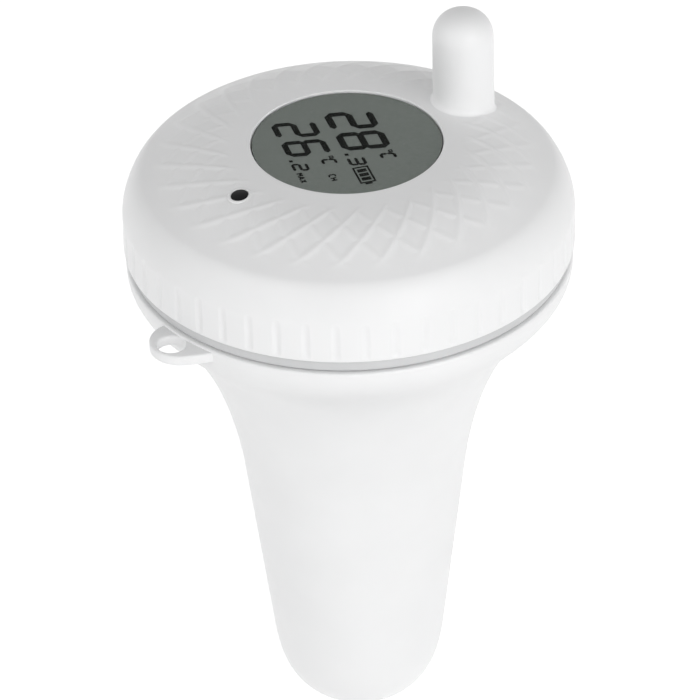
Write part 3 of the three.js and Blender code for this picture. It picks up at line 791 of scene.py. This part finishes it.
# Strokes of small letters, as shares of a letter's width and height
LETTERS = {
    "A": (((0, 0), (0.5, 1)), ((0.5, 1), (1, 0)), ((0.2, 0.35), (0.8, 0.35))),
    "C": (((1, 1), (0, 1)), ((0, 1), (0, 0)), ((0, 0), (1, 0))),
    "H": (((0, 0), (0, 1)), ((1, 0), (1, 1)), ((0, 0.5), (1, 0.5))),
    "M": (((0, 0), (0, 1)), ((0, 1), (0.5, 0.4)), ((0.5, 0.4), (1, 1)), ((1, 1), (1, 0))),
    "X": (((0, 0), (1, 1)), ((0, 1), (1, 0))),
}


def bar(start, end, half, longer=0.0):
    """A straight bar with pointed ends, made longer at each end."""
    start, end = np.array(start, float), np.array(end, float)
    way = (end - start) / np.linalg.norm(end - start)
    side = np.array((-way[1], way[0])) * half
    a, b = start - way * longer, end + way * longer
    inner_a, inner_b = a + way * half, b - way * half
    return [a, inner_a - side, inner_b - side, b, inner_b + side, inner_a + side]


def segment_outlines(width, height, thickness):
    """The outline of each of the seven segments of a digit, which overlap a little at their ends."""
    half = thickness / 2
    x0, x1 = half, width - half
    y0, y1, y2 = half, height / 2, height - half
    overlap = thickness * DIGIT_OVERLAP_SHARE
    ends = {
        "a": ((x0, y2), (x1, y2)),
        "b": ((x1, y1), (x1, y2)),
        "c": ((x1, y0), (x1, y1)),
        "d": ((x0, y0), (x1, y0)),
        "e": ((x0, y0), (x0, y1)),
        "f": ((x0, y1), (x0, y2)),
        "g": ((x0, y1), (x1, y1)),
    }
    return {name: bar(start, end, half, overlap) for name, (start, end) in ends.items()}


def digit(symbol, place, width, height, thickness):
    """The outlines of the lit segments of one digit, slanted."""
    outlines = segment_outlines(width, height, thickness)
    slant = math.tan(math.radians(DIGIT_SLANT))
    return [
        [(place[0] + x + y * slant, place[1] + y) for x, y in outlines[segment]]
        for segment in SEGMENTS[symbol]
    ]


def oblong(place, width, height, slanted=True):
    slant = math.tan(math.radians(DIGIT_SLANT)) if slanted else 0
    corners = ((0, 0), (width, 0), (width, height), (0, height))
    return [(place[0] + x + y * slant, place[1] + y) for x, y in corners]


def frame_of(place, width, height, thickness):
    """The four bars of an upright frame."""
    x, y = place
    return [
        oblong((x, y), width, thickness, False),
        oblong((x, y + height - thickness), width, thickness, False),
        oblong((x, y + thickness), thickness, height - 2 * thickness, False),
        oblong((x + width - thickness, y + thickness), thickness, height - 2 * thickness, False),
    ]


def degree_sign(place):
    return frame_of(place, DEGREE_SIZE, DEGREE_SIZE, DEGREE_LINE)


def battery_sign():
    """A cell with upright bars and a nub."""
    x, y = BATTERY_PLACE
    marks = frame_of(BATTERY_PLACE, BATTERY_LENGTH, BATTERY_HEIGHT, BATTERY_LINE)
    bar_height = BATTERY_HEIGHT - 2 * BATTERY_BAR_MARGIN
    for i in range(BATTERY_BARS):
        place = (x + BATTERY_BAR_START + BATTERY_BAR_PITCH * i, y + BATTERY_BAR_MARGIN)
        marks.append(oblong(place, BATTERY_BAR_WIDTH, bar_height, False))
    place = (x + BATTERY_LENGTH + BATTERY_NUB_GAP, y + BATTERY_NUB_MARGIN)
    nub_height = BATTERY_HEIGHT - 2 * BATTERY_NUB_MARGIN
    marks.append(oblong(place, BATTERY_NUB_WIDTH, nub_height, False))
    return marks


def label(word, place):
    """A short word in small letters."""
    marks = []
    for i, letter in enumerate(word):
        left = place[0] + i * (LETTER_WIDTH + LETTER_GAP)
        for ends in LETTERS[letter]:
            start, end = ((left + x * LETTER_WIDTH, place[1] + y * LETTER_HEIGHT) for x, y in ends)
            marks.append(bar(start, end, LETTER_LINE / 2))
    return marks


def display_marks():
    """The outlines of all that shows on the display."""
    marks = []
    for symbol, place, width, height, thickness in DIGITS:
        marks += digit(symbol, place, width, height, thickness)
    for place in DEGREE_PLACES:
        marks += degree_sign(place)
    for place, size in POINTS:
        marks.append(oblong(place, size, size))
    marks += battery_sign()
    for word, place in LABELS:
        marks += label(word, place)
    return marks


def add_display():
    """The face of the display, which stands up close under the window, with the marks on it."""
    bottom = frame_box_top("lcd_glass") + FILM_GAP
    top = DOME_HEIGHT - WINDOW_THICKNESS - DIGIT_THICKNESS - FILM_GAP
    radius = WINDOW_RADIUS - FILM_GAP
    profile = [(0, bottom), (radius, bottom), (radius, top), (0, top)]
    face = revolved("display_face", profile, WINDOW_COLUMNS, None, False)
    finish_piece(tidy_mesh(face), "head", MATERIALS["lcd"])
    vertices, faces = [], []
    for outline in display_marks():
        base = len(vertices)
        count = len(outline)
        for height in (top, top + DIGIT_THICKNESS):
            vertices += [(*turned_place(point), height) for point in outline]
        faces.append(tuple(base + count + i for i in range(count)))
        faces.append(tuple(base + i for i in reversed(range(count))))
        faces += [
            (base + i, base + (i + 1) % count, base + count + (i + 1) % count, base + count + i)
            for i in range(count)
        ]
    marks = tidy_mesh(mesh_piece("display_marks", vertices, faces, MARK_ANGLE), MARK_JOIN_DISTANCE)
    finish_piece(marks, "head", LCD_INK)


def frame_box_top(node):
    """The top of a node in millimetres above the cap's rim."""
    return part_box(node)[1].z / MILLIMETRE - WATERLINE_DEPTH


def add_dot():
    """The dark pipe end, level with the sloping dome, in a narrow pale rim."""
    x0, y0 = turned_place(DOT_PLACE)
    distance = math.hypot(x0, y0)
    outward = np.array((x0, y0)) / distance
    fall = float(dome_height(distance - DOT_SLOPE_STEP) - dome_height(distance + DOT_SLOPE_STEP))
    slope = fall / (2 * DOT_SLOPE_STEP)
    azimuths = np.radians(np.arange(DOT_COLUMNS) * 360 / DOT_COLUMNS)

    def tilted(radius, height):
        x, y = radius * np.cos(azimuths), radius * np.sin(azimuths)
        tilt = -slope * (x * outward[0] + y * outward[1])
        return np.stack([x0 + x, y0 + y, float(dome_height(distance)) + tilt + height], -1)

    def turned(name, profile, closed, angle):
        rows = np.array([tilted(radius, height) for radius, height in profile])
        return tidy_mesh(mesh_piece(name, rows, grid_faces(len(rows), DOT_COLUMNS, closed), angle))

    dot = turned("sensor_window", DOT_PROFILE, False, EDGE_ANGLE)
    finish_piece(dot, "head", SENSOR_BLACK, ["light_pipe"])
    rim = turned("sensor_rim", [(DOT_RADIUS + out, height) for out, height in DOT_RIM], True, RIM_ANGLE)
    finish_piece(rim, "head", MATERIALS["white_plastic"])


# Gasket and float


def add_gasket():
    """A ring with rounded outer edges."""
    corners = [
        (GASKET_INNER, GASKET_BOTTOM),
        (GASKET_OUTER, GASKET_BOTTOM),
        (GASKET_OUTER, GASKET_TOP),
        (GASKET_INNER, GASKET_TOP),
    ]
    profile = [corners[0]]
    profile += corner(corners[0], corners[1], corners[2], GASKET_ROUNDING)
    profile += corner(corners[1], corners[2], corners[3], GASKET_ROUNDING)
    profile += [corners[3]]
    ring = revolved("gasket_ring", profile, smooth_angle=EDGE_ANGLE)
    finish_piece(ring, "gasket", MATERIALS["grey_rubber"], ["rim_gasket"])


def float_outline(inset):
    """The float from its lip down to its tip, drawn in by an inset for the inside."""
    lip = (LIP_RADIUS - inset, LIP_TOP - LIP_HEIGHT)
    bell = (BELL_RADIUS - inset, BELL_BOTTOM)
    stem = (STEM_RADIUS - inset, STEM_TOP)
    stem_end = (STEM_END_RADIUS - inset, TAPER_BOTTOM)
    tip = (0, FLOAT_BOTTOM + inset)
    return [
        lip,
        *bend(lip, bell, BELL_SHARES, BELL_STEPS),
        *bend(bell, stem, TRUMPET_SHARES, TRUMPET_STEPS),
        *straight(stem, stem_end, TAPER_STEPS),
        *bend(stem_end, tip, TIP_SHARES, TIP_STEPS),
    ]


def add_float():
    """The hollow float with its neck and the thread on it."""
    lip_bottom = LIP_TOP - LIP_HEIGHT
    outside = float_outline(0)
    lower = corner(outside[1], outside[0], (LIP_RADIUS, LIP_TOP), LIP_ROUNDING * LIP_LOWER_SHARE)
    upper = corner((LIP_RADIUS, lip_bottom), (LIP_RADIUS, LIP_TOP), (NECK_OUTER, LIP_TOP), LIP_ROUNDING)
    inside = [(min(r, NECK_INNER), z) for r, z in float_outline(FLOAT_WALL)]
    neck = (NECK_OUTER, NECK_HEIGHT)
    profile = [
        *outside[:0:-1],
        *lower,
        *upper,
        (NECK_OUTER, LIP_TOP),
        *corner((NECK_OUTER, LIP_TOP), neck, (NECK_INNER, NECK_HEIGHT), NECK_ROUNDING),
        *corner(neck, (NECK_INNER, NECK_HEIGHT), (NECK_INNER, LIP_TOP), NECK_ROUNDING),
        *inside,
    ]
    shell = tidy_mesh(revolved("float_body", profile, closed=False, smooth_angle=FLOAT_ANGLE))
    finish_piece(shell, "float", MATERIALS["white_plastic"], ["float_shell"])
    root, tip = NECK_OUTER - THREAD_SINK, NECK_OUTER + THREAD_DEPTH
    ridge = thread_ridge("neck_thread", root, tip, NECK_THREAD_BOTTOM, 0)
    finish_piece(ridge, "float", MATERIALS["white_plastic"])


def ear_outline():
    """A disc that meets the lip square on one side and blends into it on the other."""
    points = [(EAR_ROOT_RADIUS, -EAR_TIP_RADIUS), (EAR_CENTRE, -EAR_TIP_RADIUS)]
    for step in range(1, EAR_TIP_STEPS + 1):
        angle = -90 + (90 + EAR_BLEND_ANGLE) * step / EAR_TIP_STEPS
        x, y = on_circle(EAR_TIP_RADIUS, angle)
        points.append((EAR_CENTRE + x, y))
    start = np.array(points[-1])
    handle = start + np.array(on_circle(EAR_BLEND_LENGTH, EAR_BLEND_ANGLE + 90))
    root = np.array((EAR_ROOT_RADIUS, EAR_ROOT_WIDTH))
    for step in range(1, EAR_BLEND_STEPS + 1):
        t = step / EAR_BLEND_STEPS
        point = (1 - t) ** 2 * start + 2 * t * (1 - t) * handle + t * t * root
        points.append((point[0], point[1]))
    return points


def add_ear():
    """A flat tab with a hole and rounded edges."""
    curve = bpy.data.curves.new("ear_curve", "CURVE")
    curve.dimensions = "2D"
    curve.fill_mode = "BOTH"
    hole = [on_circle(EAR_HOLE_RADIUS, 360 * i / EAR_HOLE_COLUMNS) for i in range(EAR_HOLE_COLUMNS)]
    for outline in (ear_outline(), [(EAR_HOLE_DISTANCE + x, y) for x, y in hole]):
        spline = curve.splines.new("POLY")
        spline.points.add(len(outline) - 1)
        for point, (x, y) in zip(spline.points, outline):
            point.co = (x * MILLIMETRE, y * MILLIMETRE, 0, 1)
        spline.use_cyclic_u = True
    curve.bevel_depth = EAR_ROUNDING * MILLIMETRE
    curve.bevel_resolution = EAR_BEVEL_STEPS
    curve.extrude = (EAR_THICKNESS / 2 - EAR_ROUNDING) * MILLIMETRE
    curve.offset = -EAR_ROUNDING * MILLIMETRE
    drawn = bpy.data.objects.new("ear_drawn", curve)
    mesh = bpy.data.meshes.new_from_object(drawn)
    bpy.data.objects.remove(drawn)
    middle = (EAR_TOP - EAR_THICKNESS / 2 + WATERLINE_DEPTH) * MILLIMETRE
    mesh.transform(Matrix.Rotation(math.radians(EAR_AZIMUTH), 4, "Z"))
    mesh.transform(Matrix.Translation((0, 0, middle)))
    ear = bpy.data.objects.new("lanyard_ear", mesh)
    bpy.context.scene.collection.objects.link(ear)
    tidy_mesh(ear)
    mesh.polygons.foreach_set("use_smooth", [True] * len(mesh.polygons))
    mesh.set_sharp_from_angle(angle=math.radians(EDGE_ANGLE))
    finish_piece(ear, "float", MATERIALS["white_plastic"])


# Stage


def seen_rays(nodes, links):
    """One for the rays of the camera, of gloss and of glass, and nothing for the light itself."""
    rays = nodes.new("ShaderNodeLightPath")
    source = rays.outputs["Is Camera Ray"]
    for name in ("Is Glossy Ray", "Is Transmission Ray"):
        either = nodes.new("ShaderNodeMath")
        either.operation = "MAXIMUM"
        links.new(source, either.inputs[0])
        links.new(rays.outputs[name], either.inputs[1])
        source = either.outputs[0]
    return source


def add_floor():
    """A pale floor that glows a little, so that it reads as white and keeps the shadow."""
    floor = bpy.data.meshes.new("floor")
    height = FLOAT_BOTTOM - FLOOR_DROP
    azimuths = [360 * i / FLOOR_COLUMNS for i in range(FLOOR_COLUMNS)]
    rim = [(*on_circle(FLOOR_RADIUS, azimuth), height) for azimuth in azimuths]
    floor.from_pydata(to_row(rim).tolist(), [], [tuple(range(FLOOR_COLUMNS))])
    stage = bpy.data.objects.new("floor", floor)
    bpy.context.scene.collection.objects.link(stage)
    material = new_material("pale_floor", (FLOOR_ALBEDO,) * 3, 1)
    dull(material, 0)
    shader = material.node_tree.nodes["Principled BSDF"]
    shader.inputs["Emission Color"].default_value = (1, 1, 1, 1)
    nodes, links = material.node_tree.nodes, material.node_tree.links
    glow = nodes.new("ShaderNodeMapRange")
    glow.inputs["To Min"].default_value = FLOOR_GLOW
    glow.inputs["To Max"].default_value = FLOOR_SEEN
    links.new(seen_rays(nodes, links), glow.inputs["Value"])
    links.new(glow.outputs["Result"], shader.inputs["Emission Strength"])
    floor.materials.append(material)


def add_world():
    """White where the camera, gloss or glass looks, and dimmer overhead for the light itself."""
    world = bpy.data.worlds.new("studio")
    bpy.context.scene.world = world
    world.use_nodes = True
    nodes, links = world.node_tree.nodes, world.node_tree.links
    nodes.clear()
    place = nodes.new("ShaderNodeTexCoord")
    split = nodes.new("ShaderNodeSeparateXYZ")
    level = nodes.new("ShaderNodeMapRange")
    level.inputs["From Min"].default_value = 0
    level.inputs["From Max"].default_value = 1
    level.inputs["To Min"].default_value = HORIZON_LEVEL
    level.inputs["To Max"].default_value = ZENITH_LEVEL
    links.new(place.outputs["Generated"], split.inputs[0])
    links.new(split.outputs["Z"], level.inputs["Value"])
    light = nodes.new("ShaderNodeBackground")
    links.new(level.outputs["Result"], light.inputs["Strength"])
    seen = nodes.new("ShaderNodeBackground")
    mix = nodes.new("ShaderNodeMixShader")
    links.new(seen_rays(nodes, links), mix.inputs["Fac"])
    links.new(light.outputs[0], mix.inputs[1])
    links.new(seen.outputs[0], mix.inputs[2])
    output = nodes.new("ShaderNodeOutputWorld")
    links.new(mix.outputs[0], output.inputs["Surface"])


def add_lamp(name, azimuth, elevation, watts):
    """A square soft lamp that faces the object."""
    data = bpy.data.lights.new(name, "AREA")
    data.size = LAMP_SIZE * MILLIMETRE
    data.energy = watts
    lamp = bpy.data.objects.new(name, data)
    flat, height = on_circle(LAMP_DISTANCE, elevation)
    lamp.location = to_row([(*on_circle(flat, azimuth), height)])[0]
    aim = Vector(to_row([LAMP_AIM])[0])
    lamp.rotation_mode = "QUATERNION"
    lamp.rotation_quaternion = (aim - lamp.location).to_track_quat("-Z", "Y")
    bpy.context.scene.collection.objects.link(lamp)


def add_camera():
    elevation, roll = math.radians(CAMERA_ELEVATION), math.radians(CAMERA_ROLL)
    back = Vector((0, -math.cos(elevation), math.sin(elevation)))
    level_right = Vector((1, 0, 0))
    level_up = Vector((0, math.sin(elevation), math.cos(elevation)))
    right = math.cos(roll) * level_right - math.sin(roll) * level_up
    up = math.sin(roll) * level_right + math.cos(roll) * level_up
    data = bpy.data.cameras.new("camera")
    data.lens = CAMERA_LENS
    data.clip_start, data.clip_end = (distance * MILLIMETRE for distance in CAMERA_CLIP)
    camera = bpy.data.objects.new("camera", data)
    turn = Matrix((right, up, back)).transposed().to_4x4()
    place = Vector(to_row([CAMERA_AIM])[0]) + back * CAMERA_DISTANCE * MILLIMETRE
    camera.matrix_world = Matrix.Translation(place) @ turn
    bpy.context.scene.collection.objects.link(camera)
    bpy.context.scene.camera = camera


dress_nodes()
add_camera()
add_world()
add_floor()
for lamp in LAMPS:
    add_lamp(*lamp)
add_cap()
add_antenna()
add_window()
add_display()
add_dot()
add_gasket()
add_float()
add_ear()
bpy.context.scene.view_settings.view_transform = "Standard"
